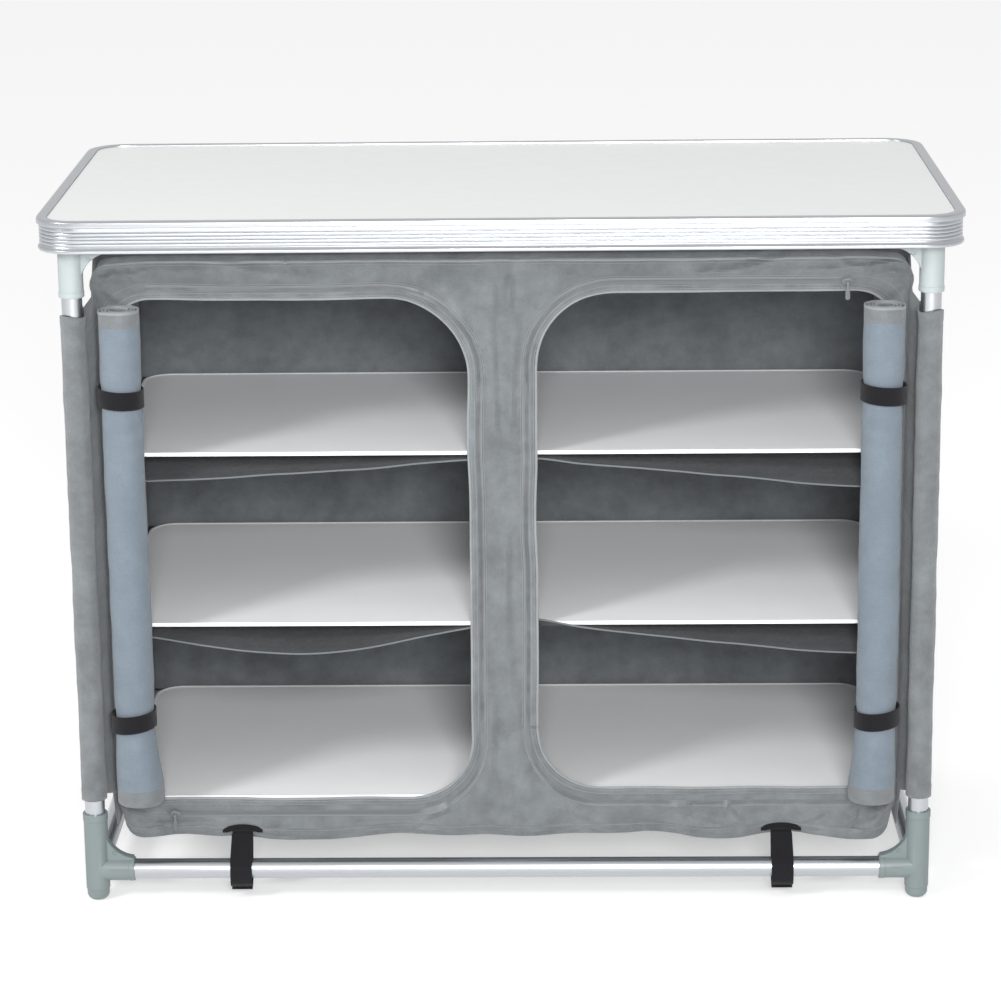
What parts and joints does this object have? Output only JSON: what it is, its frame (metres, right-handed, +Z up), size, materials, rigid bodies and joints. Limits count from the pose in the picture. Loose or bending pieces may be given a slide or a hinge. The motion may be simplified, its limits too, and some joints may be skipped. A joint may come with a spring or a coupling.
{
  "type": "camp kitchen table",
  "caption": "Camp kitchen table: laminate top on an aluminium tube frame, with a hanging fabric cabinet of open shelved bays behind rolled-up zip doors.",
  "frame": {"origin": "on the floor, under the middle of the table top", "axes": "+X along the table's width to the user's right, +Y to the back, +Z up; the cabinet opens towards -Y"},
  "size_m": [0.97, 0.475, 0.77],
  "materials": {
    "aluminium": "satin anodised",
    "laminate": "off-white melamine laminate on fibreboard, satin",
    "shelf": "pale grey painted hardboard, satin",
    "bracket": "moulded grey-green plastic, satin",
    "bracket_light": "moulded light grey plastic, satin",
    "cloth": "grey coated polyester",
    "door_cloth": "blue-grey coated polyester",
    "webbing": "black hook-and-loop webbing",
    "zip": "grey plastic zip"
  },
  "bodies": {
    "frame": {"leg_front_left": "aluminium", "top_bracket_front_left": "bracket_light", "bottom_bracket_front_left": "bracket", "leg_front_right": "aluminium", "top_bracket_front_right": "bracket_light", "bottom_bracket_front_right": "bracket", "leg_rear_left": "aluminium", "top_bracket_rear_left": "bracket_light", "bottom_bracket_rear_left": "bracket", "leg_rear_right": "aluminium", "top_bracket_rear_right": "bracket_light", "bottom_bracket_rear_right": "bracket", "top_rail_front": "aluminium", "top_rail_rear": "aluminium", "top_rail_left": "aluminium", "top_rail_right": "aluminium", "bottom_rail_front": "aluminium", "bottom_rail_rear": "aluminium", "bottom_rail_left": "aluminium", "bottom_rail_right": "aluminium", "front_panel": "cloth", "back_panel": "cloth", "floor_panel": "cloth", "centre_divider": "cloth", "roof_panel": "cloth", "side_panel_left": "cloth", "side_panel_right": "cloth", "leg_sleeve_front_left": "cloth", "leg_sleeve_front_right": "cloth", "leg_sleeve_rear_left": "cloth", "leg_sleeve_rear_right": "cloth", "shelf_sling_middle_left": "cloth", "shelf_sling_middle_right": "cloth", "shelf_sling_upper_left": "cloth", "shelf_sling_upper_right": "cloth", "door_roll_left": "door_cloth", "door_roll_right": "door_cloth", "zip_track_left": "zip", "zip_track_right": "zip"},
    "table_top": {"table_board": "laminate", "edge_trim_front": "aluminium", "edge_trim_rear": "aluminium", "trim_joiner_left": "aluminium", "trim_joiner_right": "aluminium"},
    "shelf_lower_left": {"shelf_board_lower_left": "shelf"},
    "shelf_lower_right": {"shelf_board_lower_right": "shelf"},
    "shelf_middle_left": {"shelf_board_middle_left": "shelf"},
    "shelf_middle_right": {"shelf_board_middle_right": "shelf"},
    "shelf_upper_left": {"shelf_board_upper_left": "shelf"},
    "shelf_upper_right": {"shelf_board_upper_right": "shelf"},
    "roll_strap_upper_left_band": {"roll_strap_upper_left": "webbing"},
    "roll_strap_upper_right_band": {"roll_strap_upper_right": "webbing"},
    "roll_strap_lower_left_band": {"roll_strap_lower_left": "webbing"},
    "roll_strap_lower_right_band": {"roll_strap_lower_right": "webbing"},
    "hold_strap_left_leaf": {"hold_strap_left": "webbing"},
    "hold_strap_right_leaf": {"hold_strap_right": "webbing"},
    "slider_left": {"zip_slider_left": "zip"},
    "pull_left": {"zip_pull_left": "zip"},
    "slider_right": {"zip_slider_right": "zip"},
    "pull_right": {"zip_pull_right": "zip"}
  },
  "joints": [
    {"name": "top_lift", "type": "slide", "parent": "frame", "child": "table_top", "axis": [0, 0, 1], "range_m": [0, 0.1]},
    {"name": "shelf_lift_lower_left", "type": "slide", "parent": "frame", "child": "shelf_lower_left", "axis": [0, 0, 1], "range_m": [0, 0.03]},
    {"name": "shelf_lift_lower_right", "type": "slide", "parent": "frame", "child": "shelf_lower_right", "axis": [0, 0, 1], "range_m": [0, 0.03]},
    {"name": "shelf_lift_middle_left", "type": "slide", "parent": "frame", "child": "shelf_middle_left", "axis": [0, 0, 1], "range_m": [0, 0.03]},
    {"name": "shelf_lift_middle_right", "type": "slide", "parent": "frame", "child": "shelf_middle_right", "axis": [0, 0, 1], "range_m": [0, 0.03]},
    {"name": "shelf_lift_upper_left", "type": "slide", "parent": "frame", "child": "shelf_upper_left", "axis": [0, 0, 1], "range_m": [0, 0.03]},
    {"name": "shelf_lift_upper_right", "type": "slide", "parent": "frame", "child": "shelf_upper_right", "axis": [0, 0, 1], "range_m": [0, 0.03]},
    {"name": "roll_strap_open_upper_left", "type": "hinge", "parent": "frame", "child": "roll_strap_upper_left_band", "pos_m": [-0.42875, -0.1923, 0.573], "axis": [0, 0, -1], "range_deg": [0, 68]},
    {"name": "roll_strap_open_upper_right", "type": "hinge", "parent": "frame", "child": "roll_strap_upper_right_band", "pos_m": [0.42875, -0.1923, 0.573], "axis": [0, 0, 1], "range_deg": [0, 68]},
    {"name": "roll_strap_open_lower_left", "type": "hinge", "parent": "frame", "child": "roll_strap_lower_left_band", "pos_m": [-0.42875, -0.1923, 0.21], "axis": [0, 0, -1], "range_deg": [0, 68]},
    {"name": "roll_strap_open_lower_right", "type": "hinge", "parent": "frame", "child": "roll_strap_lower_right_band", "pos_m": [0.42875, -0.1923, 0.21], "axis": [0, 0, 1], "range_deg": [0, 68]},
    {"name": "hold_strap_open_left", "type": "hinge", "parent": "frame", "child": "hold_strap_left_leaf", "pos_m": [-0.292, -0.1732, 0.0665], "axis": [-1, 0, 0], "range_deg": [0, 95]},
    {"name": "hold_strap_open_right", "type": "hinge", "parent": "frame", "child": "hold_strap_right_leaf", "pos_m": [0.304, -0.1732, 0.0665], "axis": [-1, 0, 0], "range_deg": [0, 95]},
    {"name": "zip_run_left", "type": "slide", "parent": "frame", "child": "slider_left", "axis": [1, 0, 0], "range_m": [0, 0.25]},
    {"name": "zip_pull_swing_left", "type": "hinge", "parent": "slider_left", "child": "pull_left", "pos_m": [-0.366, -0.1774, 0.0905], "axis": [-1, 0, 0], "range_deg": [0, 150]},
    {"name": "zip_run_right", "type": "slide", "parent": "frame", "child": "slider_right", "axis": [-1, 0, 0], "range_m": [0, 0.235]},
    {"name": "zip_pull_swing_right", "type": "hinge", "parent": "slider_right", "child": "pull_right", "pos_m": [0.366, -0.1774, 0.6885], "axis": [-1, 0, 0], "range_deg": [0, 150]}
  ]
}
